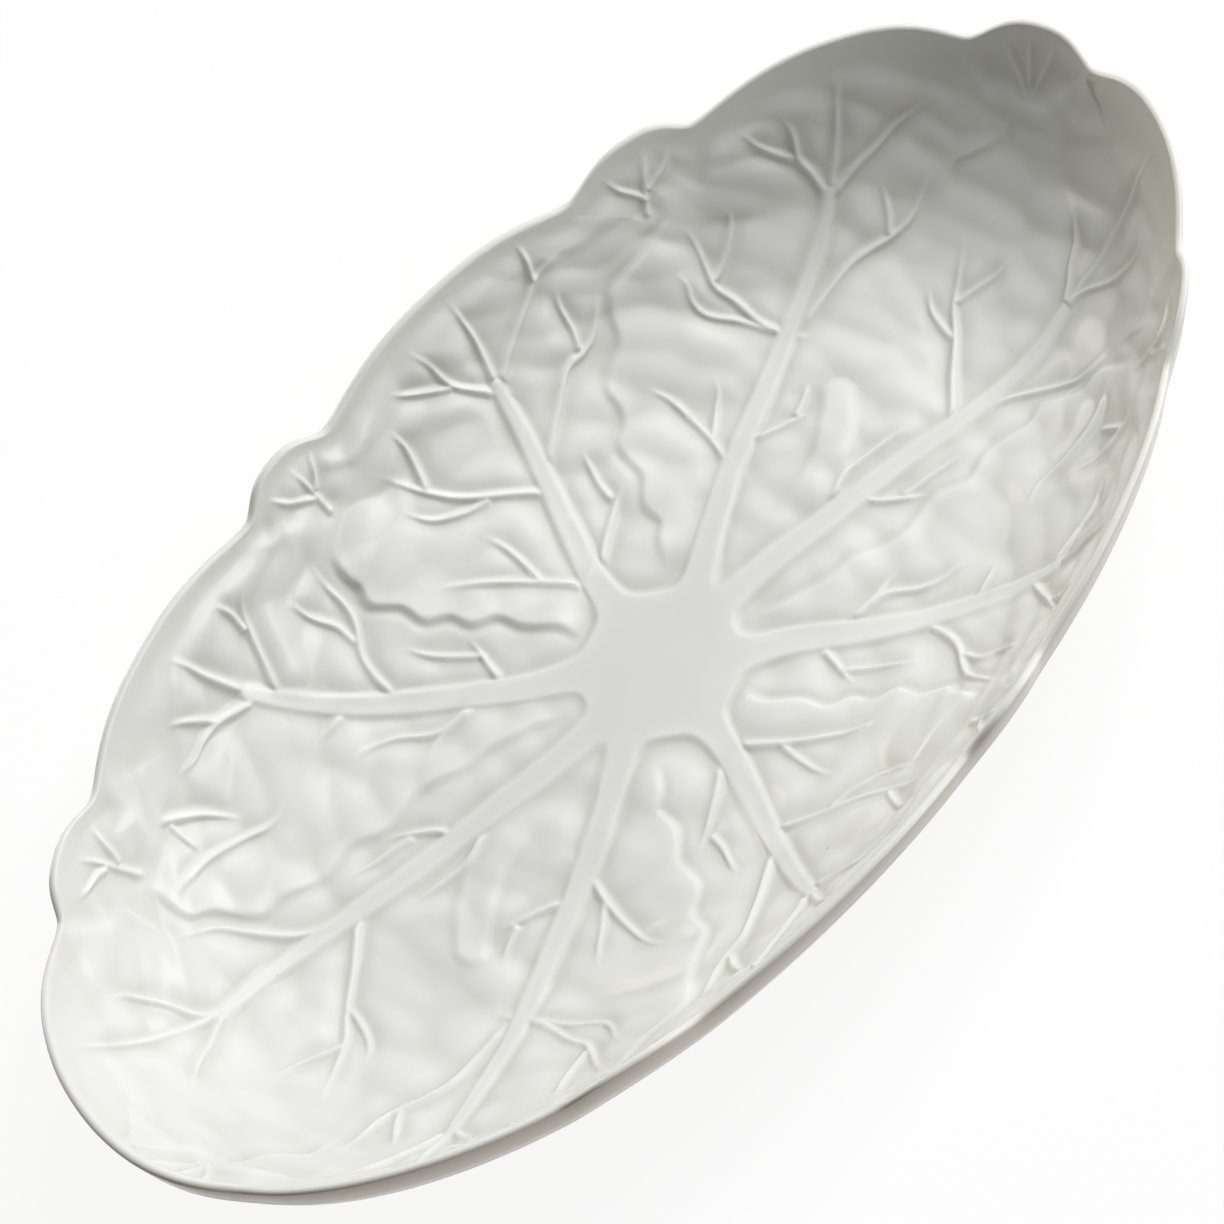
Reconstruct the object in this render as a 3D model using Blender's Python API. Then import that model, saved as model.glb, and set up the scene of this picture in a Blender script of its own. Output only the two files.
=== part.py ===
"""Oval serving platter of glazed earthenware, moulded as eight overlapping leaves on a foot ring.

Metres, +Z up. The platter stands on the plane z = 0, its long axis along X and its centre over the origin.
Half of the rim and of the ribs is given below: the other half is the same, turned by 180 degrees about Z.
"""

import math

import bmesh
import bpy

# Overall size of the rim
LENGTH = 0.400
WIDTH = 0.210

# Rim: height of its notches over the well floor, at the ends and in the middle of the long sides
NOTCH_HEIGHT_END = 0.058
NOTCH_HEIGHT_SIDE = 0.052
LOBE_RISE = 0.0075
NOTCH_DEPTH = 0.003
LIP_THICKNESS = 0.005

# Wall and well
WALL_RUN = 0.072
FLOOR_THICKNESS = 0.006

# Raised leaf ribs and the boss that they meet in
BOSS_RADIUS = 0.025
BOSS_EDGE = 0.002
RIB_HEIGHT = 0.0015
RIB_WIDTH_INNER = 0.008
RIB_WIDTH_OUTER = 0.004
RIB_TOP_SHARE = 0.5

# Foot ring, luted under the well
FOOT_LENGTH = 0.236
FOOT_WIDTH = 0.104
FOOT_RING_WIDTH = 0.008
FOOT_HEIGHT = 0.006
FOOT_CHAMFER = 0.0012
SEAT_GAP = 0.0003

# Places round the oval, in degrees of its own parameter: ribs, and the two rim notches after each rib
RIB_ANGLES = (-16.0, 36.0, 79.0, 118.0)
NOTCH_ANGLES = ((-1.0, 19.0), (52.0, 66.0), (94.0, 105.5), (133.0, 148.5))
HALF_TURN = 180.0

# Facets
LOBE_COLUMNS = 3
SMALL_LEAF_COLUMNS = 4
WALL_ROWS = 9
LIP_STEPS = 4
SHARP_ANGLE = 40.0

# Finish
GLAZE_COLOUR = (0.86, 0.86, 0.83)
GLAZE_ROUGHNESS = 0.12
CLAY_COLOUR = (0.80, 0.74, 0.64)
CLAY_ROUGHNESS = 0.75


def clear_scene():
    for item in list(bpy.data.objects):
        bpy.data.objects.remove(item, do_unlink=True)


def plan_angle(oval_angle):
    """Direction in plan, in radians, of a place given by the oval's parameter in degrees."""
    t = math.radians(oval_angle)
    turns = round(oval_angle / 360.0) * 2.0 * math.pi
    return math.atan2(WIDTH * math.sin(t), LENGTH * math.cos(t)) + turns


def oval_angle_at(theta):
    """The oval's parameter, in degrees, of a direction in plan."""
    return math.degrees(math.atan2(LENGTH * math.sin(theta), WIDTH * math.cos(theta)))


def oval_radius(length, width, theta):
    return 0.5 * length * width / math.hypot(width * math.cos(theta), length * math.sin(theta))


def rim_notches():
    """All rim notches round the oval, in degrees, in order."""
    half = [angle for pair in NOTCH_ANGLES for angle in pair]
    return half + [angle + HALF_TURN for angle in half]


def lobe_crest(theta):
    """0 in a rim notch, 1 on the crest of the lobe between two notches."""
    notches = rim_notches()
    angle = (oval_angle_at(theta) - notches[0]) % 360.0 + notches[0]
    for start, end in zip(notches, notches[1:] + [notches[0] + 360.0]):
        if start <= angle <= end:
            return math.sqrt(max(0.0, math.sin(math.pi * (angle - start) / (end - start))))
    return 0.0


def lip_centre(theta):
    """Radius and height of the middle of the lip's rounding."""
    crest = lobe_crest(theta)
    end_share = math.cos(math.radians(oval_angle_at(theta))) ** 2
    notch = NOTCH_HEIGHT_SIDE + (NOTCH_HEIGHT_END - NOTCH_HEIGHT_SIDE) * end_share
    radius = oval_radius(LENGTH, WIDTH, theta) - NOTCH_DEPTH * (1.0 - crest) - 0.5 * LIP_THICKNESS
    top = FOOT_HEIGHT + FLOOR_THICKNESS + notch + LOBE_RISE * crest
    return radius, top - 0.5 * LIP_THICKNESS


def wall_height(radius, theta, base, thickness):
    """Height at a radius of a wall surface: a flat floor, then a quarter of an ellipse up to the lip."""
    lip_radius, lip_height = lip_centre(theta)
    start = lip_radius - 0.5 * LIP_THICKNESS - WALL_RUN
    share = min(max((radius - start) / (WALL_RUN + thickness), 0.0), 1.0)
    return base + (lip_height - base) * (1.0 - math.sqrt(1.0 - share * share))


def inside_height(radius, theta):
    return wall_height(radius, theta, FOOT_HEIGHT + FLOOR_THICKNESS, 0.0)


def outside_height(radius, theta):
    return wall_height(radius, theta, FOOT_HEIGHT, LIP_THICKNESS)


def inside_radius(share, theta):
    """Radius at a share of the way from the boss to the lip."""
    return BOSS_RADIUS + (lip_centre(theta)[0] - 0.5 * LIP_THICKNESS - BOSS_RADIUS) * share


def sweep(step):
    """Share of a wall reached after a step: wide steps on the floor, narrow ones under the lip."""
    return math.sin(0.5 * math.pi * step / WALL_ROWS)


def rib_edges(rib, share):
    """Plan angles of a rib's four long edges at a share of its length: foot, top, top, foot."""
    middle = plan_angle(rib)
    width = RIB_WIDTH_INNER + (RIB_WIDTH_OUTER - RIB_WIDTH_INNER) * share
    half = math.asin(0.5 * width / inside_radius(share, middle))
    top = RIB_TOP_SHARE * half
    return [middle - half, middle - top, middle + top, middle + half]


def columns_at(share):
    """Plan angle and raised share of each column of points, round the whole dish."""
    ribs = list(RIB_ANGLES) + [rib + HALF_TURN for rib in RIB_ANGLES]
    notch_pairs = list(NOTCH_ANGLES) + [(a + HALF_TURN, b + HALF_TURN) for a, b in NOTCH_ANGLES]
    columns = []
    for index, (rib, pair) in enumerate(zip(ribs, notch_pairs)):
        last = index == len(ribs) - 1
        following = ribs[0] + 360.0 if last else ribs[index + 1]
        edges = rib_edges(rib, share)
        columns += list(zip(edges, (0.0, 1.0, 1.0, 0.0)))
        columns += [(angle, 0.0) for angle in blade_columns(rib, pair, following, share)]
    return columns


def blade_columns(rib, pair, following, share):
    """Plan angles of the columns on the blade between two ribs, with one on each rim notch."""
    rim_start = rib_edges(rib, 1.0)[-1]
    rim_end = rib_edges(following, 1.0)[0]
    start = rib_edges(rib, share)[-1]
    end = rib_edges(following, share)[0]
    stations = [rim_start, plan_angle(pair[0]), plan_angle(pair[1]), rim_end]
    counts = (LOBE_COLUMNS, SMALL_LEAF_COLUMNS, LOBE_COLUMNS)
    angles = []
    for low, high, count in zip(stations, stations[1:], counts):
        angles += [low + (high - low) * step / count for step in range(count)]
    angles = angles[1:]
    return [start + (end - start) * (angle - rim_start) / (rim_end - rim_start) for angle in angles]


def point(radius, theta, height):
    return (radius * math.cos(theta), radius * math.sin(theta), height)


def boss_ring():
    """Edge of the boss's raised top."""
    height = FOOT_HEIGHT + FLOOR_THICKNESS + RIB_HEIGHT
    return [point(BOSS_RADIUS - BOSS_EDGE, theta, height) for theta, _ in columns_at(0.0)]


def face_ring(share):
    """A ring of points on the dish's face, raised along the ribs, which die out at the lip."""
    ring = []
    for theta, raised in columns_at(share):
        radius = inside_radius(share, theta)
        lift = RIB_HEIGHT * raised * (1.0 - share)
        ring.append(point(radius, theta, inside_height(radius, theta) + lift))
    return ring


def lip_ring(turn):
    """A ring of points on the rounded lip: turn is 0 on its inner side and 1 on its outer side."""
    ring = []
    for theta, _ in columns_at(1.0):
        radius, height = lip_centre(theta)
        swing = math.pi * (1.0 - turn)
        across = 0.5 * LIP_THICKNESS * math.cos(swing)
        up = 0.5 * LIP_THICKNESS * math.sin(swing)
        ring.append(point(radius + across, theta, height + up))
    return ring


def back_ring(share):
    """A ring of points on the outside of the wall, from the foot ring (0) to the lip (1)."""
    ring = []
    for theta, _ in columns_at(1.0):
        low = oval_radius(FOOT_LENGTH, FOOT_WIDTH, theta)
        high = lip_centre(theta)[0] + 0.5 * LIP_THICKNESS
        radius = low + (high - low) * share
        ring.append(point(radius, theta, outside_height(radius, theta)))
    return ring


def seat_ring(inset, gap):
    """A ring of points on the underside where the foot ring sits, or a gap below it."""
    ring = []
    for theta, _ in columns_at(1.0):
        radius = oval_radius(FOOT_LENGTH, FOOT_WIDTH, theta) - inset
        ring.append(point(radius, theta, outside_height(radius, theta) - gap))
    return ring


def foot_ring_points(inset, height):
    ring = []
    for theta, _ in columns_at(1.0):
        ring.append(point(oval_radius(FOOT_LENGTH, FOOT_WIDTH, theta) - inset, theta, height))
    return ring


def skin(bm, rings, closed):
    """Join each ring of points to the next, and the last to the first if closed.

    Every strip is cut along the same diagonal, so two skins through the same rings stay parallel.
    """
    verts = [[bm.verts.new(co) for co in ring] for ring in rings]
    pairs = list(zip(verts, verts[1:]))
    if closed:
        pairs.append((verts[-1], verts[0]))
    count = len(rings[0])
    for inner, outer in pairs:
        for i in range(count):
            j = (i + 1) % count
            bm.faces.new((inner[i], outer[i], outer[j]))
            bm.faces.new((inner[i], outer[j], inner[j]))
    return verts


def cap(bm, ring, height):
    """Close a ring with a fan of triangles to a point on the axis."""
    middle = bm.verts.new((0.0, 0.0, height))
    for i, vert in enumerate(ring):
        bm.faces.new((middle, vert, ring[(i + 1) % len(ring)]))


def add_object(name, bm, material):
    bmesh.ops.recalc_face_normals(bm, faces=bm.faces)
    mesh = bpy.data.meshes.new(name)
    bm.to_mesh(mesh)
    bm.free()
    mesh.shade_smooth()
    mesh.set_sharp_from_angle(angle=math.radians(SHARP_ANGLE))
    mesh.materials.append(material)
    item = bpy.data.objects.new(name, mesh)
    bpy.context.scene.collection.objects.link(item)
    return item


def make_material(name, colour, roughness):
    material = bpy.data.materials.new(name)
    material.use_nodes = True
    shader = material.node_tree.nodes["Principled BSDF"]
    shader.inputs["Base Color"].default_value = (*colour, 1.0)
    shader.inputs["Roughness"].default_value = roughness
    shader.inputs["Metallic"].default_value = 0.0
    return material


def make_platter_body():
    """The dish: boss and ribbed face, rounded lip, and the back down to the underside of the well."""
    bm = bmesh.new()
    rings = [boss_ring()]
    rings += [face_ring(sweep(step)) for step in range(WALL_ROWS + 1)]
    rings += [lip_ring(step / LIP_STEPS) for step in range(1, LIP_STEPS)]
    rings += [back_ring(sweep(step)) for step in range(WALL_ROWS, -1, -1)]
    rings.append(seat_ring(FOOT_RING_WIDTH, 0.0))
    verts = skin(bm, rings, closed=False)
    cap(bm, verts[0], FOOT_HEIGHT + FLOOR_THICKNESS + RIB_HEIGHT)
    cap(bm, verts[-1], FOOT_HEIGHT)
    return add_object("platter_body", bm, make_material("white_glaze", GLAZE_COLOUR, GLAZE_ROUGHNESS))


def make_foot_ring():
    """The ring that the platter stands on: flat below, following the underside above."""
    bm = bmesh.new()
    rings = [
        seat_ring(FOOT_RING_WIDTH, SEAT_GAP),
        foot_ring_points(FOOT_RING_WIDTH, FOOT_CHAMFER),
        foot_ring_points(FOOT_RING_WIDTH - FOOT_CHAMFER, 0.0),
        foot_ring_points(FOOT_CHAMFER, 0.0),
        foot_ring_points(0.0, FOOT_CHAMFER),
        seat_ring(0.0, SEAT_GAP),
    ]
    skin(bm, rings, closed=True)
    return add_object("foot_ring", bm, make_material("bare_clay", CLAY_COLOUR, CLAY_ROUGHNESS))


def main():
    clear_scene()
    make_platter_body()
    make_foot_ring()


main()
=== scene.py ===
import math

import bpy
import numpy as np
from mathutils import Matrix, Vector, noise


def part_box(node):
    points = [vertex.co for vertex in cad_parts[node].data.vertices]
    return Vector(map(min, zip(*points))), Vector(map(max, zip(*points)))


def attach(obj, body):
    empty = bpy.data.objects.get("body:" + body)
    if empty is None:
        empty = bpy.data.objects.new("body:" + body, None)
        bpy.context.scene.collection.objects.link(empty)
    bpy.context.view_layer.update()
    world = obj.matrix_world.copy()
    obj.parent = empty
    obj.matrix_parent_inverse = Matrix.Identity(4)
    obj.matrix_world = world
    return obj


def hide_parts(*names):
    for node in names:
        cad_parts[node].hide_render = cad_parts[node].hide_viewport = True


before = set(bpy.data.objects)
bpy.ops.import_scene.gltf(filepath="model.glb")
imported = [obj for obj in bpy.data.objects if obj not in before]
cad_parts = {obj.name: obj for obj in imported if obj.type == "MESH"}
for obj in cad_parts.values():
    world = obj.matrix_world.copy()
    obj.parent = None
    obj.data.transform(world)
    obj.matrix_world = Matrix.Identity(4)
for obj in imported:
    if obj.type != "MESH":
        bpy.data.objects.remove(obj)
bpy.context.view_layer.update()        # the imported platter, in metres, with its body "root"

bodyLow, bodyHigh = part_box("platter_body")
footLow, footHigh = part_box("foot_ring")


# the view of the photo, which the leaf paths below are also read through
photo = {
    "pixels": 1224,
    "lens": 102.0,                        # mm
    "sensor": 36.0,                       # mm
    "eye": (-0.2153, -0.3645, 0.8850),
    "azimuth": -119.59,                   # degrees round from +X to the camera
    "elevation": 63.0,
    "roll": 21.26,
    "farthest": 20.0,
}


def viewAxes():
    azimuth, elevation, roll = (math.radians(photo[key]) for key in ("azimuth", "elevation", "roll"))
    level = math.cos(elevation)
    back = Vector((level * math.cos(azimuth), level * math.sin(azimuth), math.sin(elevation)))
    sideways = Vector((-math.sin(azimuth), math.cos(azimuth), 0.0))
    upright = back.cross(sideways)
    right = sideways * math.cos(roll) - upright * math.sin(roll)
    up = upright * math.cos(roll) + sideways * math.sin(roll)
    return right, up, back


def pixelRay(pixel):
    right, up, back = viewAxes()
    half = 0.5 * photo["pixels"]
    reach = photo["lens"] / photo["sensor"] * photo["pixels"]
    return (right * (pixel[0] - half) + up * (half - pixel[1]) - back * reach).normalized()


def addCamera():
    camera = bpy.data.objects.new("camera", bpy.data.cameras.new("camera"))
    bpy.context.scene.collection.objects.link(camera)
    camera.data.lens = photo["lens"]
    camera.data.sensor_width = photo["sensor"]
    camera.data.clip_end = photo["farthest"]
    camera.location = photo["eye"]
    camera.rotation_euler = Matrix(viewAxes()).transposed().to_euler()
    bpy.context.scene.camera = camera
    print("camera set")


# the dish: the same rim and wall as the solid, with the lobes dying out down the wall
dish = {
    "length": 0.400,
    "width": 0.210,
    "notchHeightEnd": 0.058,              # rim notches over the well floor
    "notchHeightSide": 0.052,
    "lobeRise": 0.0070,
    "lobeMean": 0.75,                     # part of the rise that the whole wall takes up
    "lobeFade": 5.0,
    "notchDepth": 0.0025,
    "notchRound": 5.0,                    # degrees of the oval that a notch is rounded over
    "lobeFullness": 1.4,                  # over 1 for full lobes with narrow notches
    "notches": (-1.0, 19.0, 52.0, 66.0, 94.5, 105.0, 133.5, 147.5),   # degrees, on half of the oval
    "softNotch": 179.0,                   # the one that is nearly filled
    "softSpan": 12.0,
    "softFill": 0.85,
    "lip": 0.0056,                        # thickness of the wall
    "rim": 0.0026,                        # thickness at its edge, where the inside flares out
    "flareFade": 4.0,
    "wallRun": 0.072,
    "floorThickness": 0.006,
    "cellsLong": 800,
    "cellsAcross": 440,
    "lipSteps": 8,
    "backSteps": 9,
    "underSteps": 3,
    "triangles": 194000,                  # kept where the relief is, after thinning the flat places
}


def ovalRadius(length, width, theta):
    return 0.5 * length * width / np.hypot(width * np.cos(theta), length * np.sin(theta))


def ovalAngle(theta):
    return np.arctan2(dish["length"] * np.sin(theta), dish["width"] * np.cos(theta))


def lobeCrest(theta):     # 0 in a rim notch, 1 on the crest of a lobe
    half = list(dish["notches"])
    notches = np.array(half + [angle + 180.0 for angle in half] + [half[0] + 360.0])
    angle = (np.degrees(ovalAngle(theta)) - notches[0]) % 360.0 + notches[0]
    place = np.clip(np.searchsorted(notches, angle, side="right") - 1, 0, len(notches) - 2)
    span = notches[place + 1] - notches[place]
    valley = dish["notchRound"] / span
    wave = np.hypot(np.sin(np.pi * (angle - notches[place]) / span), valley) - valley
    depth = (1.0 - wave / (np.hypot(1.0, valley) - valley)) ** dish["lobeFullness"]
    filled = dish["softFill"] * np.exp(-((angle - dish["softNotch"]) / dish["softSpan"]) ** 2)
    return 1.0 - depth * (1.0 - filled)


def notchHeight(theta):
    endShare = np.cos(ovalAngle(theta)) ** 2
    return dish["notchHeightSide"] + (dish["notchHeightEnd"] - dish["notchHeightSide"]) * endShare


def wallStart(theta):
    return ovalRadius(dish["length"], dish["width"], theta) - dish["lip"] - dish["wallRun"]


def wallPoint(turn, theta, outer, base):     # turn: 0 at the wall's foot, a right angle at the lip
    crest = lobeCrest(theta)
    floorTop = bodyLow.z + dish["floorThickness"]
    lipHeight = floorTop + notchHeight(theta) - 0.5 * dish["rim"]
    near = np.sin(turn) ** dish["lobeFade"]
    flare = (dish["lip"] - dish["rim"]) * (1.0 - np.cos(turn)) ** dish["flareFade"]
    run = dish["wallRun"] + outer * dish["lip"]
    radius = wallStart(theta) + run * np.sin(turn) + (1.0 - outer) * flare
    radius = radius - dish["notchDepth"] * (1.0 - crest) * near
    height = base + (lipHeight + dish["lobeMean"] * dish["lobeRise"] - base) * (1.0 - np.cos(turn))
    height = height + dish["lobeRise"] * (crest - dish["lobeMean"]) * near
    return radius, height


def facePoint(share, theta):     # share of the way from the middle to the lip, along the surface
    start = wallStart(theta)
    rise = notchHeight(theta) + dish["lobeMean"] * dish["lobeRise"] - 0.5 * dish["rim"]
    arc = 0.5 * math.pi * np.sqrt(0.5 * (dish["wallRun"] ** 2 + rise ** 2))
    along = share * (start + arc)
    turn = 0.5 * math.pi * np.clip((along - start) / arc, 0.0, 1.0)
    radius, height = wallPoint(turn, theta, 0.0, bodyLow.z + dish["floorThickness"])
    return np.where(along < start, along, radius), height, along


def lipPoint(step, theta):
    radius, height = wallPoint(0.5 * math.pi, theta, 0.0, bodyLow.z + dish["floorThickness"])
    swing = math.pi * (1.0 - step / dish["lipSteps"])
    half = 0.5 * dish["rim"]
    return radius + half + half * math.cos(swing), height + half * math.sin(swing)


def backPoint(step, theta):
    turn = 0.5 * math.pi * (1.0 - step / dish["backSteps"])
    return wallPoint(turn, theta, 1.0, bodyLow.z)


def underPoint(step, theta):
    return wallStart(theta) * (1.0 - step / dish["underSteps"]), bodyLow.z + 0.0 * theta


def getPoints(mesh):
    points = np.empty(len(mesh.vertices) * 3)
    mesh.vertices.foreach_get("co", points)
    return points.reshape(-1, 3)


def setPoints(mesh, points):
    mesh.vertices.foreach_set("co", points.ravel())
    mesh.update()


def selectedRows(mesh):
    flags = np.zeros(len(mesh.vertices), dtype=bool)
    mesh.vertices.foreach_get("select", flags)
    return np.flatnonzero(flags)


def placeRing(mesh, rows, ringPoint, step):
    points = getPoints(mesh)
    theta = np.arctan2(points[rows, 1], points[rows, 0])
    radius, height = ringPoint(step, theta)
    points[rows] = np.stack([radius * np.cos(theta), radius * np.sin(theta), height], axis=1)
    setPoints(mesh, points)


def extrudeRings(piece, ringPoint, steps):     # the open edge stays selected from ring to ring
    for step in steps:
        bpy.ops.object.mode_set(mode="EDIT")
        bpy.ops.mesh.extrude_edges_move()
        bpy.ops.object.mode_set(mode="OBJECT")
        placeRing(piece.data, selectedRows(piece.data), ringPoint, step)


def addDish():
    bpy.ops.object.select_all(action="DESELECT")
    bpy.ops.mesh.primitive_grid_add(x_subdivisions=dish["cellsLong"], y_subdivisions=dish["cellsAcross"],
                                    size=2.0)
    piece = bpy.context.active_object
    piece.name = "leaf_platter"
    piece.data.name = "leaf_platter"
    square = getPoints(piece.data)
    across = square[:, 0] * np.sqrt(1.0 - 0.5 * square[:, 1] ** 2)     # square grid drawn into a round one
    along = square[:, 1] * np.sqrt(1.0 - 0.5 * square[:, 0] ** 2)
    turn = np.arctan2(along, across)
    theta = np.arctan2(dish["width"] * np.sin(turn), dish["length"] * np.cos(turn))
    radius, height, reach = facePoint(np.minimum(np.hypot(across, along), 1.0), theta)
    setPoints(piece.data, np.stack([radius * np.cos(theta), radius * np.sin(theta), height], axis=1))
    print("dish face shaped", len(square), "points")
    return piece, reach


def closeDish(piece):     # lip, outside of the wall and underside
    bpy.ops.object.mode_set(mode="EDIT")
    bpy.ops.mesh.select_mode(type="EDGE")
    bpy.ops.mesh.select_all(action="SELECT")
    bpy.ops.mesh.region_to_loop()
    bpy.ops.object.mode_set(mode="OBJECT")
    extrudeRings(piece, lipPoint, range(1, dish["lipSteps"] + 1))
    extrudeRings(piece, backPoint, range(1, dish["backSteps"] + 1))
    extrudeRings(piece, underPoint, range(1, dish["underSteps"]))
    bpy.ops.object.mode_set(mode="EDIT")
    bpy.ops.mesh.merge(type="CENTER")
    bpy.ops.mesh.select_all(action="SELECT")
    bpy.ops.mesh.normals_make_consistent(inside=False)
    bpy.ops.mesh.select_all(action="DESELECT")
    bpy.ops.object.mode_set(mode="OBJECT")
    print("dish closed", len(piece.data.polygons), "faces")


def thinDish(piece):     # fewer, larger faces on the plain parts, shaded as smoothly as before
    bpy.ops.object.shade_smooth()
    bpy.ops.object.duplicate()
    dense = bpy.context.active_object
    dense.select_set(False)
    piece.select_set(True)
    bpy.context.view_layer.objects.active = piece
    piece.data.calc_loop_triangles()
    thin = piece.modifiers.new("thin", "DECIMATE")
    thin.ratio = dish["triangles"] / len(piece.data.loop_triangles)
    thin.vertex_group = "boss"            # left whole, so that it shades as one flat face
    thin.invert_vertex_group = True
    bpy.ops.object.modifier_apply(modifier="thin")
    shading = piece.modifiers.new("shading", "DATA_TRANSFER")
    shading.object = dense
    shading.use_loop_data = True
    shading.data_types_loops = {"CUSTOM_NORMAL"}
    shading.loop_mapping = "POLYINTERP_NEAREST"
    bpy.ops.object.modifier_apply(modifier="shading")
    bpy.data.meshes.remove(dense.data)
    piece.data.calc_loop_triangles()
    print("dish thinned to", len(piece.data.loop_triangles), "triangles")


# leaf ribs and veins, as pixels of the photo along their crests: half of the dish, the rest is its half turn
northLeaf = {
    "rib": [(695, 590), (712, 530), (732, 470), (757, 410), (790, 330), (812, 270), (825, 220), (829, 190)],
    "ribWidth": (0.0098, 0.0044),
    "veins": {
        "crown": [(829, 195), (832, 170), (835, 130), (836, 62)],
        "crownLeft": [(827, 195), (810, 170), (797, 157), (790, 130), (775, 108)],
        "crownRight": [(832, 195), (855, 165), (875, 145), (895, 122), (925, 97), (943, 87)],
        "upperLeft": [(795, 337), (778, 333), (757, 322), (735, 302), (715, 288), (705, 268), (697, 250),
                      (685, 232), (675, 222)],
        "lowerLeft": [(735, 470), (726, 461), (710, 440), (690, 420), (670, 402), (650, 393), (634, 391)],
        "upperRight": [(805, 325), (815, 310), (830, 290), (850, 265), (870, 250), (890, 238), (910, 220),
                       (920, 200), (928, 180), (938, 165), (955, 155)],
        "lowerRight": [(748, 442), (764, 437), (780, 430), (800, 420), (818, 415)],
    },
    "twigs": {
        "crownLeft": [(795, 157), (775, 152), (755, 142), (737, 128)],
        "upperLeft": [(775, 334), (740, 322), (715, 318), (700, 312), (690, 300), (683, 283), (668, 268)],
        "upperLeftTip": [(712, 283), (722, 262), (729, 230), (727, 212), (720, 202)],
        "lowerLeft": [(713, 443), (716, 415), (718, 395), (713, 377)],
        "upperRight": [(890, 236), (888, 210), (881, 180)],
        "lowerRight": [(796, 420), (805, 400), (810, 385)],
    },
}
northWestLeaf = {
    "rib": [(600, 590), (575, 545), (545, 480), (520, 430), (495, 385)],
    "ribWidth": (0.0108, 0.0046),
    "veins": {
        "crown": [(497, 388), (488, 372), (470, 335), (445, 298)],
        "lowerRight": [(541, 470), (548, 455), (557, 410), (565, 370), (583, 350), (593, 325), (596, 262)],
        "upperRight": [(497, 385), (501, 375), (507, 351), (523, 304), (535, 273), (566, 238)],
        "upperLeft": [(500, 393), (492, 392), (455, 386), (440, 378), (424, 362), (400, 350)],
        "midLeft": [(548, 492), (540, 493), (510, 495), (460, 498), (425, 492), (400, 484), (380, 477),
                    (362, 475)],
        "lowerLeft": [(595, 588), (580, 587), (540, 585), (500, 584), (470, 586), (440, 590), (428, 598)],
        "inner": [(603, 560), (606, 545), (612, 520), (618, 500), (626, 481)],
    },
    "twigs": {
        "lowerRight": [(578, 352), (570, 330), (556, 305), (550, 283)],
        "upperRight": [(531, 280), (529, 275), (522, 255), (515, 242)],
        "upperLeft": [(452, 386), (425, 391), (400, 394), (383, 392)],
        "midLeftUpper": [(425, 492), (420, 478), (405, 450), (393, 437), (380, 428)],
        "midLeftLower": [(490, 499), (480, 505), (465, 513), (435, 521), (415, 518), (392, 510)],
        "lowerLeft": [(542, 585), (540, 582), (520, 562), (500, 547), (480, 538)],
        "inner": [(612, 502), (600, 488), (590, 470), (580, 451)],
    },
}
westLeaf = {
    "rib": [(590, 675), (530, 690), (470, 698), (400, 705), (340, 706), (290, 702), (245, 693)],
    "ribWidth": (0.0110, 0.0052),
    "veins": {
        "crown": [(248, 693), (220, 683), (200, 674), (180, 664), (162, 657)],
        "outerUpper": [(280, 700), (275, 693), (262, 665), (250, 640), (238, 605), (233, 580)],
        "midUpper": [(392, 700), (388, 692), (372, 675), (360, 655), (355, 630), (350, 615), (340, 602),
                     (325, 588), (312, 572), (303, 558)],
        "innerUpper": [(500, 688), (497, 678), (485, 662), (475, 648), (467, 640)],
        "outerLower": [(255, 697), (250, 700), (235, 710), (215, 722), (200, 740), (190, 760), (172, 778)],
        "midLower": [(345, 710), (336, 721), (318, 745)],
        "innerLower": [(475, 705), (440, 735), (400, 740), (375, 748), (345, 763)],
        "stray": [(185, 880), (205, 860), (240, 840), (270, 825), (284, 797)],
        "strayUpper": [(165, 820), (200, 815), (247, 820)],
    },
    "twigs": {
        "outerUpper": [(243, 630), (238, 625), (225, 612), (205, 602)],
        "midUpper": [(355, 642), (350, 640), (335, 627), (315, 620), (300, 613), (280, 598)],
        "innerUpper": [(482, 660), (480, 658), (440, 658), (420, 655), (395, 648)],
        "outerLower": [(217, 722), (195, 720), (175, 722), (160, 727)],
        "innerLower": [(470, 712), (445, 737), (425, 759)],
        "stray": [(165, 825), (180, 838), (198, 852)],
    },
}
southWestLeaf = {
    "rib": [(600, 725), (550, 770), (500, 808), (450, 848), (400, 885), (350, 920), (300, 955), (260, 983),
            (225, 1012)],
    "ribWidth": (0.0098, 0.0048),
    "veins": {
        "crown": [(228, 1010), (208, 1022), (140, 1045), (100, 1048), (65, 1045)],
        "crownUpper": [(230, 1008), (200, 1018), (160, 1005), (120, 998), (98, 1004)],
        "crownLower": [(228, 1012), (215, 1030), (207, 1050), (195, 1070), (188, 1100)],
        "innerUpper": [(455, 842), (441, 834), (410, 837), (384, 842)],
        "outerUpper": [(340, 925), (300, 938), (250, 934), (215, 930), (180, 938), (160, 942)],
        "outerLower": [(362, 915), (358, 932), (355, 965), (348, 1015), (345, 1045), (330, 1085),
                       (313, 1120)],
        "innerLower": [(482, 838), (474, 856), (460, 872), (420, 902), (400, 912)],
    },
    "twigs": {
        "innerUpper": [(415, 838), (400, 848), (375, 865), (345, 885)],
        "outerLowerRight": [(349, 1010), (362, 1028), (370, 1045), (368, 1070)],
        "outerLowerLeft": [(343, 1048), (335, 1053), (300, 1067), (272, 1080)],
    },
}
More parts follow.
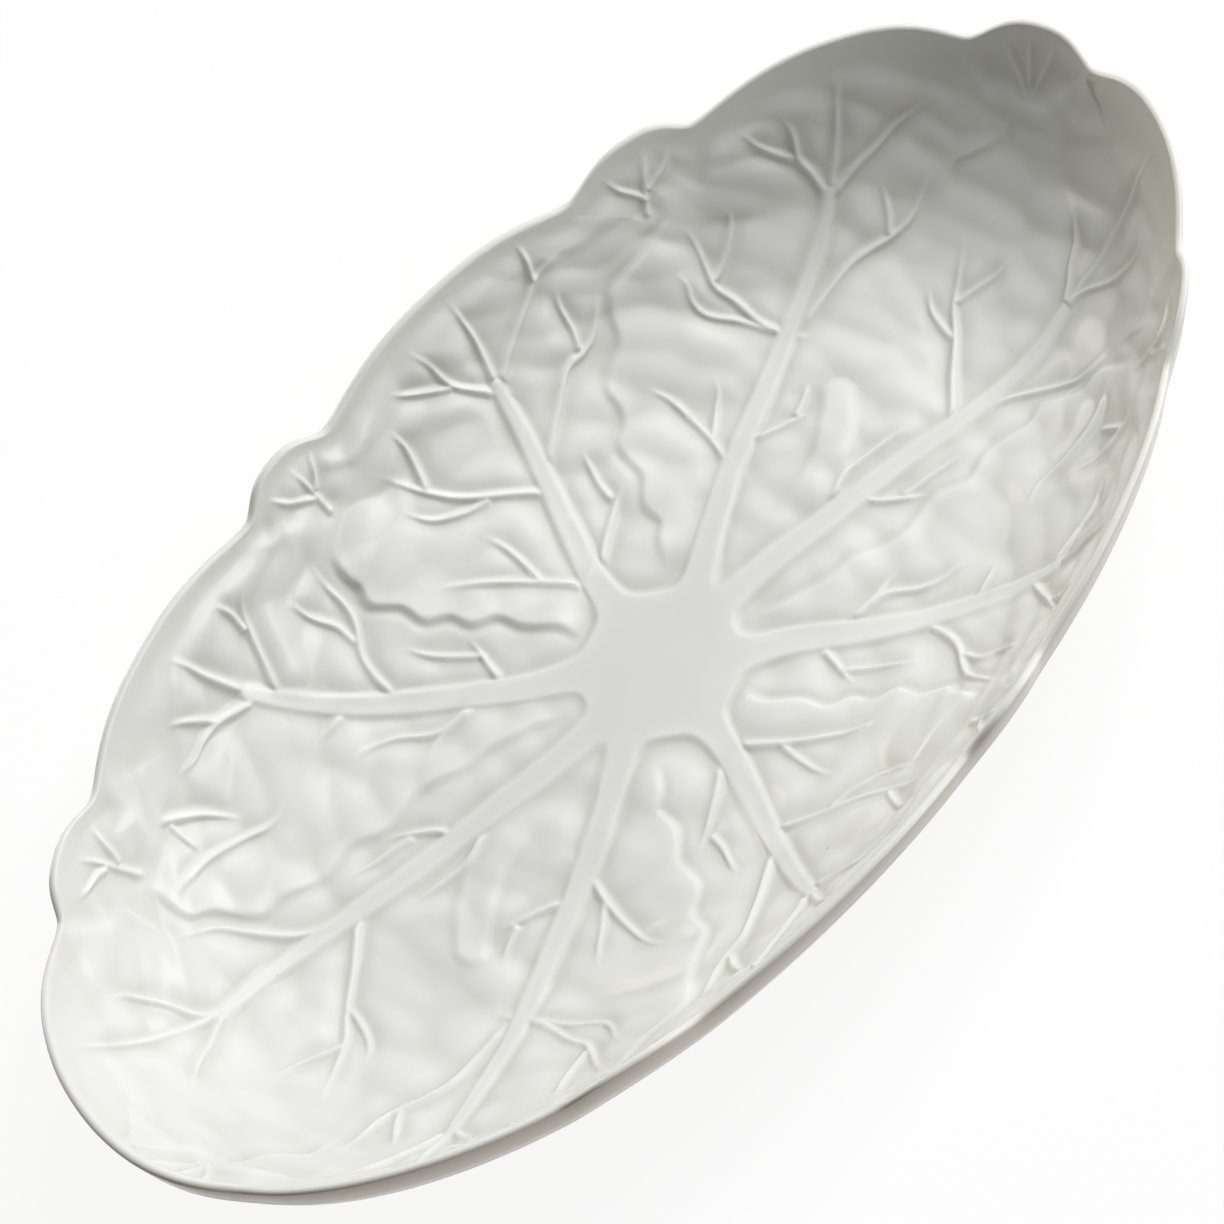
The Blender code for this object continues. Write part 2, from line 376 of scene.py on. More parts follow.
tuckedLeaves = {     # fine veins of the small leaf tips between the rim's lobes
    "northWestFan": [(645, 215), (643, 195), (643, 145)],
    "northWestFanLeft": [(642, 198), (640, 195), (615, 188), (602, 178)],
    "northWestFanRight": [(645, 188), (650, 180), (662, 165), (668, 145)],
    "westFan": [(330, 512), (318, 500), (305, 485), (285, 467)],
    "westFanUpper": [(312, 490), (312, 478), (309, 460), (307, 447)],
    "westFanLower": [(315, 497), (305, 498), (285, 502), (263, 500)],
    "southWestFan": [(140, 875), (95, 863), (72, 860)],
    "southWestFanUpper": [(115, 865), (110, 855), (97, 840), (88, 822)],
    "southWestFanLower": [(105, 868), (95, 875), (85, 890), (75, 902)],
    "northFanLeft": [(1028, 95), (1015, 62), (1008, 38)],
    "northFan": [(1030, 95), (1031, 62), (1031, 34)],
    "northFanRight": [(1033, 95), (1048, 62), (1058, 40)],
}
leafEdges = {     # where one leaf lies over the next: its wavy edge, and a pixel on the upper leaf
    "northWestOverWest": {
        "line": [(328, 545), (335, 565), (345, 577), (358, 587), (367, 605), (400, 608), (412, 616),
                 (425, 623), (450, 618), (473, 627), (498, 620), (525, 629), (562, 631), (585, 642)],
        "over": (450, 570),
    },
    "northOverNorthWest": {
        "line": [(672, 205), (640, 250), (612, 285), (608, 300), (610, 315), (617, 345), (605, 388),
                 (618, 408), (623, 425), (618, 447), (630, 465), (643, 480), (645, 510), (662, 525),
                 (660, 545), (668, 575)],
        "over": (690, 480),
        "rise": 0.6,
    },
    "westOverSouthWest": {
        "line": [(140, 880), (160, 900), (185, 918), (210, 913), (260, 918), (280, 900), (325, 882),
                 (350, 850), (388, 833), (420, 795), (465, 773), (490, 753), (515, 740), (540, 727),
                 (572, 716)],
        "over": (300, 800),
        "rise": 0.6,
    },
    "northOverNorthEast": {
        "line": [(1018, 108), (1000, 138), (980, 150), (960, 158), (950, 175), (945, 195)],
        "over": (920, 130),
        "rise": 0.5,
    },
}
tipEdges = {     # the same round the small tips, where the step is softer
    "westOverTip": {
        "line": [(230, 548), (265, 537), (280, 527), (295, 524), (320, 530)],
        "over": (280, 570),
    },
    "northWestOverWestTip": {
        "line": [(355, 405), (352, 430), (347, 450), (338, 480)],
        "over": (400, 440),
    },
    "northWestOverTip": {
        "line": [(565, 210), (600, 213), (645, 220), (662, 213), (672, 203)],
        "over": (580, 250),
        "rise": 0.55,
    },
    "northOverTip": {
        "line": [(716, 128), (705, 165), (690, 195)],
        "over": (760, 160),
    },
    "northOverNorthTip": {
        "line": [(960, 40), (985, 75), (998, 93), (1018, 104)],
        "over": (940, 80),
    },
    "northEastOverNorthTip": {
        "line": [(1095, 68), (1085, 73), (1050, 97), (1020, 104)],
        "over": (1080, 130),
    },
    "westOverSouthWestTip": {
        "line": [(107, 760), (108, 790), (120, 815), (135, 840), (140, 870)],
        "over": (170, 800),
    },
    "southWestOverTip": {
        "line": [(55, 945), (75, 928), (105, 920), (112, 900), (118, 890)],
        "over": (110, 960),
    },
}
finger = {     # a leaflet that lies free over the next rib
    "line": [(560, 790), (525, 812), (498, 848), (482, 885), (474, 925), (473, 951)],
    "width": (0.0160, 0.0090),
    "rise": 0.75,
    "slope": 0.0018,
    "rootShare": 0.7,                     # part of its length over which it rises off the blade
}
relief = {
    "bossRadius": 0.0225,
    "bossMargin": 0.003,                  # kept dense beyond the boss
    "ribHeight": (0.0018, 0.0014),        # at the boss and at the rim
    "ribShoulder": 0.0013,
    "ribReach": 0.02,                     # no rib or leaflet is felt farther away
    "ribFillet": 0.0026,                  # how round the blades end between two ribs
    "veinCrest": 0.0012,                  # rounding of the crests
    "veinSpread": (0.00085, 0.00060),     # how fast a vein falls off from its crest, root and tip
    "veinHeight": (0.00195, 0.00150),
    "veinTaper": 0.42,                    # part of its length over which a vein dies out
    "veinRoot": 0.10,                     # part over which it grows to its full height
    "veinStart": 0.3,                     # how far grown it is where its path begins
    "veinBack": 0.0040,                   # how far a vein runs on under its rib
    "veinSlim": 0.45,                     # how much thinner it is at its tip
    "veinJoin": 0.5,                      # how much lower where it runs into a rib
    "twigSpread": (0.00065, 0.00050),
    "twigHeight": (0.00160, 0.00120),
    "tuckedSpread": (0.00060, 0.00045),
    "tuckedHeight": (0.00135, 0.00080),
    "edgeHeight": 0.00130,
    "edgeRise": 1.0,
    "edgeSlope": 0.0012,
    "tipRise": 0.6,
    "tipSlope": 0.0028,
    "edgeFade": 0.024,
    "edgeTaper": 0.010,
    "edgeGroove": 0.00040,
    "grooveSetback": 1.6,                 # from the edge, in slopes
    "edgeBead": 0.00012,                  # the upper leaf's edge is rolled up a little
    "edgeBeadWidth": 0.0016,
    "pillowHeight": 0.00100,              # blades swell between the veins
    "pillowReach": (0.0016, 0.0070),      # from a crest, where a blade begins to rise and where it is full
    "pillowBlur": 20,
    "ribFoot": 0.0010,                    # flat strip along a rib, before the blade rises
    "blisterHeight": (0.00140, 0.00170),  # by the boss and by the rim
    "blisterBlur": 16,
    "blisterSize": (0.0200, 0.0120),      # round the dish, and from the middle to the rim
    "blisterReach": 0.1,                  # from the middle, where the second height holds
    "blisterEdge": 0.80,                  # where a blister meets the next, in parts of its size
    "swellHeight": 0.00050,
    "swellSize": 0.026,
    "wallArc": 0.1,                       # about the way up the wall, from its foot to the lip
    "rimFade": (0.91, 0.99),              # share of the wall over which the blisters die out
    "edgeClear": 0.0010,                  # edges and swells end where a rib is this high
    "bladeClear": 0.0008,                 # and blisters where a rib or vein is
    "poolShadeBlur": 60,                       # rounds of blurring that a hollow is measured against, for the pooled glaze and painted shade
    "poolShadeDepth": 0.0012,                  # from a ridge to a hollow that is wholly darkened, by pooled glaze and painted shade
    "leastWeight": 0.001,                 # smaller shares of the relief are left out
    "pathStep": 0.0015,
    "nudge": 3.0,                         # pixels that a point off the dish is pulled to its middle by
    "middle": (661, 667),
}


def smoothStep(value):
    value = np.clip(value, 0.0, 1.0)
    return value * value * (3.0 - 2.0 * value)


def blend(pair, share):
    return pair[0] + (pair[1] - pair[0]) * share


def castPixel(piece, face, pixel):     # the place on the plain dish that a pixel of the photo shows
    spot = Vector(pixel)
    middle = Vector(relief["middle"])
    eye = Vector(photo["eye"])
    found, place, normal, index = piece.ray_cast(eye, pixelRay(spot))
    while not found:
        spot += (middle - spot).normalized() * relief["nudge"]
        found, place, normal, index = piece.ray_cast(eye, pixelRay(spot))
    corners = face[list(piece.data.polygons[index].vertices)]
    weights = 1.0 / (np.linalg.norm(corners[:, :3] - np.array(place), axis=1) + 1e-6)
    return (corners * weights[:, None]).sum(axis=0) / weights.sum()


def castPath(piece, face, pixels):     # a smooth line through the pixels' places on the dish
    knots = np.array([castPixel(piece, face, pixel) for pixel in pixels])
    ends = np.vstack([2.0 * knots[0] - knots[1], knots, 2.0 * knots[-1] - knots[-2]])
    line = []
    for before, start, end, after in zip(ends, ends[1:], ends[2:], ends[3:]):
        count = max(2, int(np.linalg.norm((end - start)[:3]) / relief["pathStep"]))
        for share in np.arange(count) / count:
            line.append(0.5 * (2.0 * start + (end - before) * share
                               + (2.0 * before - 5.0 * start + 4.0 * end - after) * share ** 2
                               + (3.0 * start - before - 3.0 * end + after) * share ** 3))
    return np.array(line + [knots[-1]])


def bothHalves(path):
    return [path, path * np.array([-1.0, -1.0, 1.0, -1.0, -1.0])]


def lengthen(path, back):     # the same path, begun a little before its root
    run = path[1] - path[0]
    return np.vstack([path[0] - run * back / np.linalg.norm(run[:3]), path])


def nearPath(face, path, reach):     # face points within reach: gap, share along the path, side of it
    solid, line = face[:, :3], path[:, :3]
    near = ((solid > line.min(axis=0) - reach) & (solid < line.max(axis=0) + reach)).all(axis=1)
    rows = np.flatnonzero(near)
    runs = line[1:] - line[:-1]
    offset = solid[rows][:, None, :] - line[None, :-1, :]
    share = np.clip((offset * runs).sum(axis=2) / (runs ** 2).sum(axis=1), 0.0, 1.0)
    gap = ((offset - share[:, :, None] * runs) ** 2).sum(axis=2)
    best = gap.argmin(axis=1)
    pick = np.arange(len(rows))
    flatRun = (path[1:] - path[:-1])[best, 3:]
    flatOffset = face[rows, 3:] - path[best, 3:]
    side = np.sign(flatRun[:, 0] * flatOffset[:, 1] - flatRun[:, 1] * flatOffset[:, 0])
    return rows, np.sqrt(gap[pick, best]), (best + share[pick, best]) / len(runs), side


def ribField(face, ribs):     # boss and ribs in one, with the corners between them filled round
    fillet = relief["ribFillet"]
    total = np.exp((relief["bossRadius"] - np.hypot(face[:, 0], face[:, 1])) / fillet)
    for path, width in ribs:
        rows, gap, share, side = nearPath(face, path, relief["ribReach"])
        total[rows] += np.exp((0.5 * blend(width, share) - gap) / fillet)
    outside = -fillet * np.log(np.maximum(total, 1e-12))
    height = blend(relief["ribHeight"], np.hypot(face[:, 0], face[:, 1]) / (0.5 * dish["length"]))
    return height * smoothStep(0.5 - 0.5 * outside / relief["ribShoulder"]), outside


def veinField(face, veins):     # fourth power of the heights, and the way to the nearest crest
    total = np.zeros(len(face))
    far = relief["pillowReach"][1]
    nearest = np.full(len(face), far)
    for path, spread, height in veins:
        rows, gap, share, side = nearPath(face, path, far)
        slim = 1.0 - relief["veinSlim"] * share
        crest = relief["veinCrest"] * slim
        fall = (np.hypot(gap, crest) - crest) / (slim * blend(spread, share))
        taper = smoothStep((1.0 - share) / relief["veinTaper"])
        taper = taper * smoothStep(relief["veinStart"] + share / relief["veinRoot"])
        total[rows] += (taper * blend(height, share) * np.exp(-fall)) ** 4
        nearest[rows] = np.minimum(nearest[rows], gap + (1.0 - taper) * far)
    return total, nearest


def edgeField(face, edges, fingers):
    raised = np.zeros(len(face))
    for path in fingers:
        rows, gap, share, side = nearPath(face, path, relief["ribReach"])
        inside = 0.5 - 0.5 * (gap - 0.5 * blend(finger["width"], share)) / finger["slope"]
        lifted = finger["rise"] * smoothStep(share / finger["rootShare"])
        raised[rows] = np.maximum(raised[rows], lifted * smoothStep(inside))
    groove = np.zeros(len(face))
    for path, over, rise, slope in edges:
        rows, gap, share, side = nearPath(face, path, relief["edgeFade"])
        overSide = nearPath(over[None, :], path, 1.0)[3][0]
        reach = gap * side * overSide
        run = np.linalg.norm((path[1:] - path[:-1])[:, :3], axis=1).sum()
        taper = rise * smoothStep(share * run / relief["edgeTaper"])
        taper = taper * smoothStep((1.0 - share) * run / relief["edgeTaper"])
        step = smoothStep(0.5 + 0.5 * reach / slope)
        fade = 1.0 - np.clip(reach / relief["edgeFade"], 0.0, 1.0)
        bead = np.exp(-0.5 * ((reach - relief["edgeBeadWidth"]) / relief["edgeBeadWidth"]) ** 2)
        step = step * (fade + bead * relief["edgeBead"] / relief["edgeHeight"])
        raised[rows] = np.maximum(raised[rows], taper * step)
        under = np.exp(-((reach + relief["grooveSetback"] * slope) / slope) ** 2)
        groove[rows] = np.maximum(groove[rows], taper * under)
    return raised, groove


def blisterField(face, reach):     # puckered blades: low domes drawn out round the dish
    around, outward = relief["blisterSize"]
    cells = np.empty(len(face))
    for row, (place, distance) in enumerate(zip(face, reach)):
        cells[row] = noise.voronoi((place[0] / around, place[1] / around, distance / outward))[0][0]
    return np.maximum(1.0 - (cells / relief["blisterEdge"]) ** 2, 0.0)


def swellField(face):
    size = relief["swellSize"]
    return np.array([0.5 + 0.5 * noise.noise(Vector(place[:3]) / size) for place in face])


def blurGrid(values, times):
    grid = values.reshape(dish["cellsAcross"] + 1, dish["cellsLong"] + 1)
    for _ in range(times):
        wide = np.pad(grid, 1, mode="edge")
        grid = (wide[1:-1, :-2] + 2.0 * wide[1:-1, 1:-1] + wide[1:-1, 2:]) / 4.0
        tall = np.pad(grid, 1, mode="edge")
        grid = (tall[:-2, 1:-1] + 2.0 * tall[1:-1, 1:-1] + tall[2:, 1:-1]) / 4.0
    return grid.ravel()


def gatherPaths(piece, face):
    ribs, veins, edges = [], [], []
    for leaf in (northLeaf, northWestLeaf, westLeaf, southWestLeaf):
        rib = castPath(piece, face, [relief["middle"]] + leaf["rib"])
        ribs += [(path, leaf["ribWidth"]) for path in bothHalves(rib)]
        for group, kind in (("veins", "vein"), ("twigs", "twig")):
            for pixels in leaf[group].values():
                line = castPath(piece, face, pixels)
                if kind == "vein":
                    line = lengthen(line, relief["veinBack"])
                veins += [(path, relief[kind + "Spread"], relief[kind + "Height"])
                          for path in bothHalves(line)]
    for pixels in tuckedLeaves.values():
        veins += [(path, relief["tuckedSpread"], relief["tuckedHeight"])
                  for path in bothHalves(castPath(piece, face, pixels))]
    for group, kind in ((leafEdges, "edge"), (tipEdges, "tip")):
        for edge in group.values():
            rise = relief[kind + "Rise"] * edge.get("rise", 1.0)
            overs = bothHalves(castPixel(piece, face, edge["over"]))
            edges += [(path, over, rise, relief[kind + "Slope"])
                      for path, over in zip(bothHalves(castPath(piece, face, edge["line"])), overs)]
    fingers = bothHalves(castPath(piece, face, finger["line"]))
    print("leaf paths cast", len(ribs), "ribs", len(veins), "veins", len(edges), "edges")
    return ribs, veins, edges, fingers


def raiseGroup(piece, name, heights, strength):     # pushes the face out along its normals
    group = piece.vertex_groups.new(name=name)
    for row in np.flatnonzero(heights > relief["leastWeight"]):
        group.add([int(row)], float(heights[row]), "REPLACE")
    push = piece.modifiers.new(name, "DISPLACE")
    push.vertex_group = name
    push.strength = strength
    push.mid_level = 0.0
    bpy.ops.object.modifier_apply(modifier=name)
    print("raised", name)


def addAttribute(mesh, name, values):
    full = np.zeros(len(mesh.vertices))
    full[:len(values)] = values
    mesh.attributes.new(name, "FLOAT", "POINT").data.foreach_set("value", full)


def raiseLeaves(piece, reach):
    face = getPoints(piece.data)[:len(reach)]
    theta = np.arctan2(face[:, 1], face[:, 0])
    flat = np.stack([reach * np.cos(theta), reach * np.sin(theta)], axis=1)     # the dish rolled out flat
    face = np.hstack([face, flat])
    ribs, veins, edges, fingers = gatherPaths(piece, face)
    ribRise, ribGap = ribField(face, ribs)
    veinRise, veinGap = veinField(face, veins)
    joined = 1.0 - relief["veinJoin"] * smoothStep(ribRise / relief["ribHeight"][0])
    ridges = (ribRise ** 4 + veinRise * joined ** 4) ** 0.25
    clear = 1.0 - smoothStep(ribRise / relief["edgeClear"])
    raised, groove = (field * clear for field in edgeField(face, edges, fingers))
    wallShare = reach / (wallStart(theta) + relief["wallArc"])
    fadeStart, fadeEnd = relief["rimFade"]
    inside = 1.0 - smoothStep((wallShare - fadeStart) / (fadeEnd - fadeStart))
    blade = inside * (1.0 - smoothStep(ridges / relief["bladeClear"]))
    blisters = blurGrid(blisterField(face, reach) * blade, relief["blisterBlur"])
    blisters = blisters * blend(relief["blisterHeight"], np.minimum(reach / relief["blisterReach"], 1.0))
    foot, full = relief["pillowReach"]
    gap = np.minimum(veinGap, ribGap - relief["ribFoot"] + foot)
    pillow = smoothStep((gap - foot) / (full - foot))
    blisters = blisters + relief["pillowHeight"] * blurGrid(pillow * inside, relief["pillowBlur"])
    swell = swellField(face) * inside * clear
    total = ridges + relief["edgeHeight"] * raised - relief["edgeGroove"] * groove + blisters
    heights = total + relief["swellHeight"] * swell
    low, top = heights.min(), heights.max()
    raiseGroup(piece, "ground", np.ones(len(face)), low)     # down to the deepest groove, and up from there
    raiseGroup(piece, "relief", (heights - low) / (top - low), top - low)
    boss = piece.vertex_groups.new(name="boss")
    boss.add(np.flatnonzero(reach < relief["bossRadius"] + relief["bossMargin"]).tolist(), 1.0, "REPLACE")
    # glaze colour from ridge to hollow: partly pooled glaze, partly painted shade in the hollows
    hollow = blurGrid(total, relief["poolShadeBlur"]) - total
    addAttribute(piece.data, "poolShade", np.clip(0.5 + hollow / relief["poolShadeDepth"], 0.0, 1.0))


# white glaze, lighter on the ridges and darker, grey-green in the hollows between the veins: partly glaze
# that pools there, partly painted shade
glaze = {
    "ridgeColour": (0.83, 0.83, 0.81),
    # the hollows' colour: pooled glaze and painted shade
    "poolShadeColour": (0.68, 0.685, 0.625),
    "roughness": (0.215, 0.240),
    "mottleScale": 22.0,
    "mottleDetail": 3.0,
    "mottle": 0.05,
    "skinScale": 240.0,                   # orange peel of the glaze
    "skinDetail": 2.0,
    "skinBump": 0.05,
    "skinDistance": 0.0004,
    "pinholeScale": 50.0,
    "pinholeRadius": 0.0005,
    "pinholeCore": 0.3,                   # part of the radius that is wholly open
    "pinholeShare": 0.8,                  # how much of its own colour it shows
    "pinholeColour": (0.34, 0.32, 0.27),
    "ior": 1.52,
}


def newMaterial(name):
    material = bpy.data.materials.new(name)
    material.use_nodes = True
    nodes = material.node_tree.nodes
    return material, nodes, material.node_tree.links, nodes["Principled BSDF"]


def objectNoise(nodes, links, scale, detail):
    coordinates = nodes.new("ShaderNodeTexCoord")
    texture = nodes.new("ShaderNodeTexNoise")
    texture.inputs["Scale"].default_value = scale
    texture.inputs["Detail"].default_value = detail
    links.new(coordinates.outputs["Object"], texture.inputs["Vector"])
    return texture.outputs["Fac"]


def mapValue(nodes, links, source, low, high, fromLow=0.3, fromHigh=0.7):     # a noise spans 0.3 to 0.7
    mapper = nodes.new("ShaderNodeMapRange")
    mapper.inputs["From Min"].default_value = fromLow
    mapper.inputs["From Max"].default_value = fromHigh
    mapper.inputs["To Min"].default_value = low
    mapper.inputs["To Max"].default_value = high
    links.new(source, mapper.inputs["Value"])
    return mapper.outputs["Result"]


def mixColour(nodes, links, factor, first, second, mode="MIX"):
    mixer = nodes.new("ShaderNodeMix")
    mixer.data_type = "RGBA"
    mixer.blend_type = mode
    for socket, value in ((0, factor), (6, first), (7, second)):
        if isinstance(value, tuple):
            mixer.inputs[socket].default_value = (*value, 1.0)
        elif isinstance(value, float):
            mixer.inputs[socket].default_value = value
        else:
            links.new(value, mixer.inputs[socket])
    return mixer.outputs[2]


def pinholes(nodes, links):     # a few tiny spots that the glaze left open
    coordinates = nodes.new("ShaderNodeTexCoord")
    cells = nodes.new("ShaderNodeTexVoronoi")
    cells.inputs["Scale"].default_value = glaze["pinholeScale"]
    links.new(coordinates.outputs["Object"], cells.inputs["Vector"])
    radius = glaze["pinholeRadius"] * glaze["pinholeScale"]
    core = glaze["pinholeCore"] * radius
    return mapValue(nodes, links, cells.outputs["Distance"], glaze["pinholeShare"], 0.0, core, radius)


def makeGlaze():
    material, nodes, links, shader = newMaterial("white_glaze")
    # lighter ridges, darker hollows: pooled glaze and painted shade
    poolShade = nodes.new("ShaderNodeAttribute")
    poolShade.attribute_name = "poolShade"
    colour = mixColour(nodes, links, poolShade.outputs["Fac"], glaze["ridgeColour"], glaze["poolShadeColour"])
    mottle = objectNoise(nodes, links, glaze["mottleScale"], glaze["mottleDetail"])
    shade = mapValue(nodes, links, mottle, 1.0 - glaze["mottle"], 1.0)
    colour = mixColour(nodes, links, 1.0, colour, shade, "MULTIPLY")
    pinhole = pinholes(nodes, links)
    colour = mixColour(nodes, links, pinhole, colour, glaze["pinholeColour"])
    links.new(colour, shader.inputs["Base Color"])
    links.new(mapValue(nodes, links, mottle, *glaze["roughness"]), shader.inputs["Roughness"])
    bump = nodes.new("ShaderNodeBump")
    bump.inputs["Strength"].default_value = glaze["skinBump"]
    bump.inputs["Distance"].default_value = glaze["skinDistance"]
    skin = objectNoise(nodes, links, glaze["skinScale"], glaze["skinDetail"])
    links.new(skin, bump.inputs["Height"])
    links.new(bump.outputs["Normal"], shader.inputs["Normal"])
    shader.inputs["IOR"].default_value = glaze["ior"]
    return material


def addPlatter():
    piece, reach = addDish()
    bpy.context.view_layer.update()
    raiseLeaves(piece, reach)
    closeDish(piece)
    thinDish(piece)
    piece.vertex_groups.clear()
    piece.data.materials.append(makeGlaze())
    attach(piece, "root")
    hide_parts("platter_body")
    print("platter done")


# the foot ring: bare clay, turned round at its lower edges
footRing = {
    "columns": 256,
    "width": 0.008,
    "gap": 0.0003,
    "round": 0.0022,
    "roundSteps": 5,
    "seatSteps": 3,
    "sharpAngle": 50.0,                   # degrees
}


def underside(radius, theta):     # height of the dish's outside over a place
    share = np.clip((radius - wallStart(theta)) / (dish["wallRun"] + dish["lip"]), 0.0, 1.0)
    rise = notchHeight(theta) + dish["lobeMean"] * dish["lobeRise"] - 0.5 * dish["rim"]
    return bodyLow.z + (rise + dish["floorThickness"]) * (1.0 - np.sqrt(1.0 - share ** 2))


def footSection():     # inset and height, from the seat's outer edge round to its inner one
    corner = footRing["round"]
    section = [(0.0, None)]
    for step in range(footRing["roundSteps"] + 1):
        swing = 0.5 * math.pi * step / footRing["roundSteps"]
        section.append((corner * (1.0 - math.cos(swing)), corner * (1.0 - math.sin(swing))))
    for step in range(footRing["roundSteps"] + 1):
        swing = 0.5 * math.pi * (1.0 - step / footRing["roundSteps"])
        inset = footRing["width"] - corner * (1.0 - math.cos(swing))
        section.append((inset, corner * (1.0 - math.sin(swing))))
    for step in range(footRing["seatSteps"]):
        section.append((footRing["width"] * (1.0 - step / footRing["seatSteps"]), None))
    return section


def footPoint(step, theta):
    inset, height = footSection()[step]
    radius = ovalRadius(footHigh.x - footLow.x, footHigh.y - footLow.y, theta) - inset
    if height is None:
        return radius, underside(radius, theta) - footRing["gap"]
    return radius, height + footLow.z + 0.0 * theta


clay = {
    "colour": (0.72, 0.66, 0.55),
    "grainColour": (0.60, 0.53, 0.42),
    "grainScale": 900.0,
    "grainDetail": 4.0,
    "grainShare": 0.6,
    "stainScale": 40.0,
    "stainDetail": 3.0,
    "stain": 0.14,
    "roughness": (0.70, 0.90),
    "bump": 0.35,
    "bumpDistance": 0.0003,
}


def makeClay():
    material, nodes, links, shader = newMaterial("bare_clay")
    grain = objectNoise(nodes, links, clay["grainScale"], clay["grainDetail"])
    stain = objectNoise(nodes, links, clay["stainScale"], clay["stainDetail"])
    speckle = mapValue(nodes, links, grain, 0.0, clay["grainShare"])
    colour = mixColour(nodes, links, speckle, clay["colour"], clay["grainColour"])
    shade = mapValue(nodes, links, stain, 1.0 - clay["stain"], 1.0)
    colour = mixColour(nodes, links, 1.0, colour, shade, "MULTIPLY")
    links.new(colour, shader.inputs["Base Color"])
    links.new(mapValue(nodes, links, grain, *clay["roughness"]), shader.inputs["Roughness"])
    bump = nodes.new("ShaderNodeBump")
    bump.inputs["Strength"].default_value = clay["bump"]
    bump.inputs["Distance"].default_value = clay["bumpDistance"]
    links.new(grain, bump.inputs["Height"])
    links.new(bump.outputs["Normal"], shader.inputs["Normal"])
    return material


def addFootRing():
    bpy.ops.object.select_all(action="DESELECT")
    bpy.ops.mesh.primitive_circle_add(vertices=footRing["columns"], radius=footHigh.x)
    piece = bpy.context.active_object
    piece.name = "clay_foot"
    piece.data.name = "clay_foot"
    placeRing(piece.data, np.arange(footRing["columns"]), footPoint, 0)
    bpy.ops.object.mode_set(mode="EDIT")
    bpy.ops.mesh.select_all(action="SELECT")
    bpy.ops.object.mode_set(mode="OBJECT")
    extrudeRings(piece, footPoint, range(1, len(footSection())))
    bpy.ops.object.mode_set(mode="EDIT")
    bpy.ops.mesh.select_all(action="DESELECT")
    bpy.ops.mesh.select_non_manifold()
    bpy.ops.mesh.bridge_edge_loops()
    bpy.ops.mesh.select_all(action="SELECT")
    bpy.ops.mesh.normals_make_consistent(inside=False)
    bpy.ops.object.mode_set(mode="OBJECT")
    bpy.ops.object.shade_smooth_by_angle(angle=math.radians(footRing["sharpAngle"]))
    piece.data.materials.append(makeClay())
    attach(piece, "root")
    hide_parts("foot_ring")
    print("foot ring done")


# pale floor, a low window, a high panel by the +X end and a weaker warm light from the long side
studio = {
    "floorSize": 8.0,
    "floorRoughness": 0.9,
    "floorColour": (0.95, 0.95, 0.95),
    "floorBounce": (0.36, 0.23, 0.11),    # warm light that it throws up at the dish
    "floorWhite": 0.91,                   # part of the floor that is plain white to the camera
    "fill": (0.026, 0.025, 0.022),
    "windowColour": (0.98, 0.98, 1.0),    # window that the glaze mirrors
    "windowSize": (2.4, 0.9),
    "windowPower": 20.0,
    "windowPlace": (1.495, -1.548, 0.457),
    "panelColour": (0.97, 0.975, 1.0),    # soft main light
    "panelSize": (1.3, 1.3),
    "panelPower": 52.0,
    "panelPlace": (1.260, 0.066, 1.802),
    "sideColour": (1.0, 0.99, 0.82),      # warm light from the long side
    "sideSize": (1.4, 1.0),
    "sidePower": 15.5,
    "sidePlace": (-0.58, 2.02, 0.64),
}


def seenWhite(nodes, links):     # 1 for rays that should meet a white backdrop
    path = nodes.new("ShaderNodeLightPath")
    either = nodes.new("ShaderNodeMath")
    either.operation = "MAXIMUM"
    links.new(path.outputs["Is Camera Ray"], either.inputs[0])
    links.new(path.outputs["Is Glossy Ray"], either.inputs[1])
    anyRay = nodes.new("ShaderNodeMath")
    anyRay.operation = "MAXIMUM"
    links.new(either.outputs[0], anyRay.inputs[0])
    links.new(path.outputs["Is Transmission Ray"], anyRay.inputs[1])
    return anyRay.outputs[0]


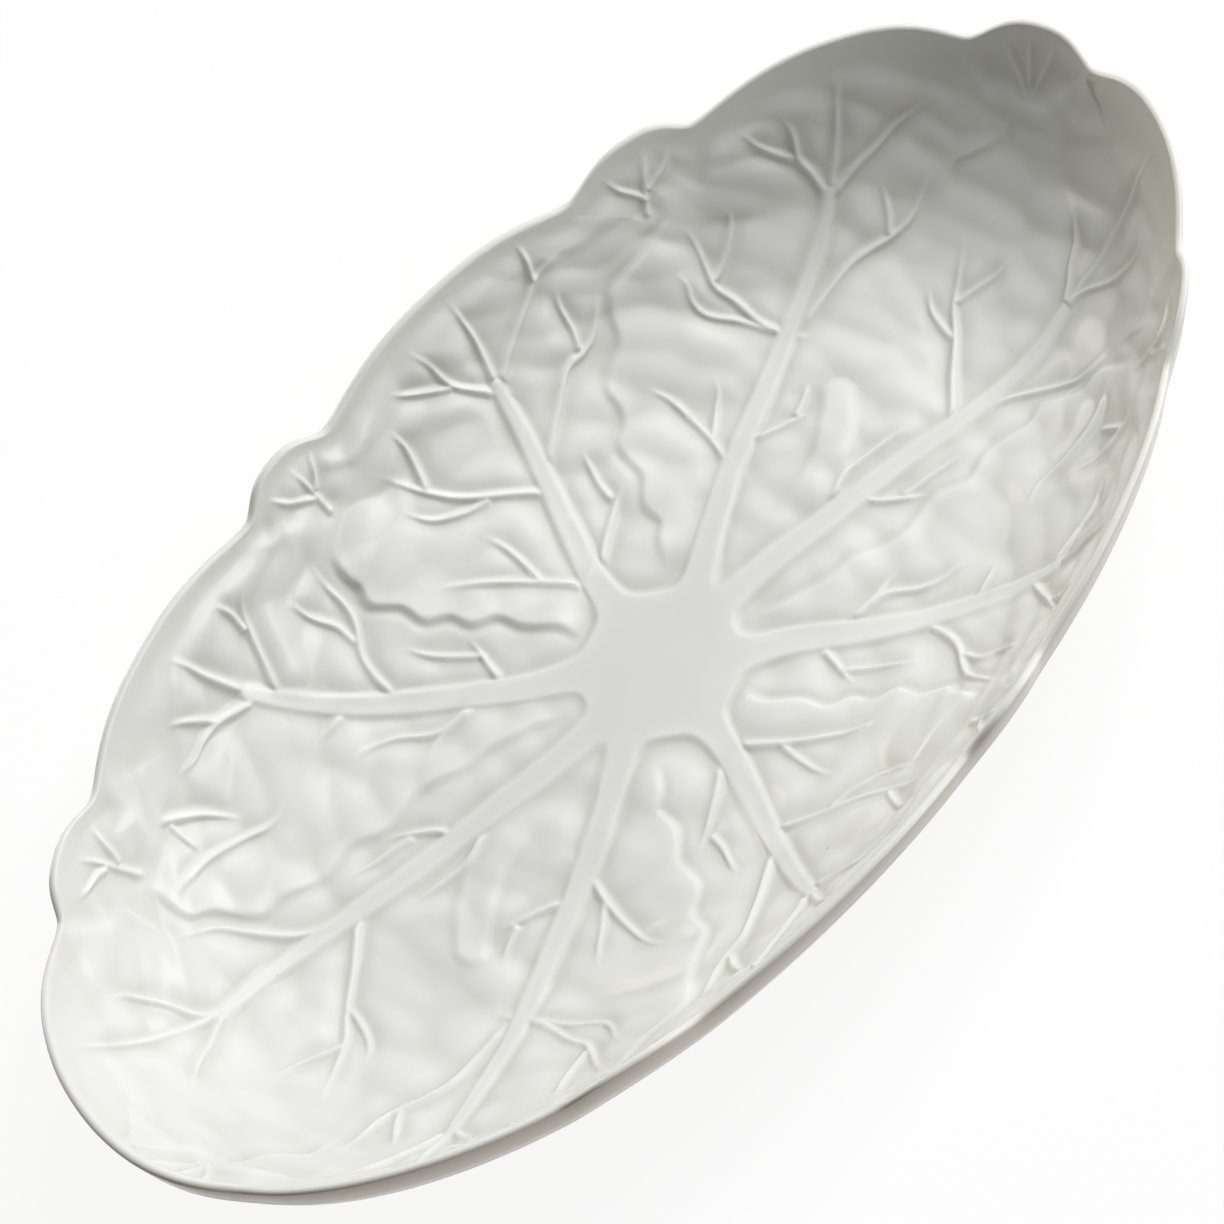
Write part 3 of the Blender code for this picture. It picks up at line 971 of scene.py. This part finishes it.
def addFloor():
    bpy.ops.object.select_all(action="DESELECT")
    bpy.ops.mesh.primitive_plane_add(size=studio["floorSize"])
    floor = bpy.context.active_object
    floor.name = "floor"
    material, nodes, links, shader = newMaterial("pale_floor")
    shader.inputs["Base Color"].default_value = (*studio["floorBounce"], 1.0)
    shader.inputs["Roughness"].default_value = studio["floorRoughness"]
    pale = nodes.new("ShaderNodeBsdfDiffuse")     # keeps the shadow
    pale.inputs["Color"].default_value = (*studio["floorColour"], 1.0)
    seen = nodes.new("ShaderNodeMixShader")
    seen.inputs[0].default_value = studio["floorWhite"]
    links.new(pale.outputs[0], seen.inputs[1])
    links.new(nodes.new("ShaderNodeEmission").outputs[0], seen.inputs[2])
    mixer = nodes.new("ShaderNodeMixShader")
    links.new(seenWhite(nodes, links), mixer.inputs[0])
    links.new(shader.outputs[0], mixer.inputs[1])
    links.new(seen.outputs[0], mixer.inputs[2])
    links.new(mixer.outputs[0], nodes["Material Output"].inputs["Surface"])
    floor.data.materials.append(material)


def addWorld():
    world = bpy.data.worlds.new("studio")
    bpy.context.scene.world = world
    world.use_nodes = True
    nodes, links = world.node_tree.nodes, world.node_tree.links
    background = nodes["Background"]
    background.inputs["Color"].default_value = (*studio["fill"], 1.0)
    white = nodes.new("ShaderNodeBackground")
    white.inputs["Color"].default_value = (1.0, 1.0, 1.0, 1.0)
    mixer = nodes.new("ShaderNodeMixShader")
    links.new(seenWhite(nodes, links), mixer.inputs[0])
    links.new(background.outputs[0], mixer.inputs[1])
    links.new(white.outputs[0], mixer.inputs[2])
    links.new(mixer.outputs[0], nodes["World Output"].inputs["Surface"])


def addLamp(name):
    lamp = bpy.data.lights.new(name, "AREA")
    lamp.shape = "RECTANGLE"
    lamp.size, lamp.size_y = studio[name + "Size"]
    lamp.energy = studio[name + "Power"]
    lamp.color = studio[name + "Colour"]
    holder = bpy.data.objects.new(name, lamp)
    bpy.context.scene.collection.objects.link(holder)
    holder.location = studio[name + "Place"]
    holder.rotation_euler = (-holder.location).to_track_quat("-Z", "Y").to_euler()
    holder.visible_glossy = name != "panel"


addCamera()
addPlatter()
addFootRing()
addFloor()
addWorld()
addLamp("window")
addLamp("panel")
addLamp("side")
bpy.context.scene.view_settings.view_transform = "Standard"
print("studio lit")
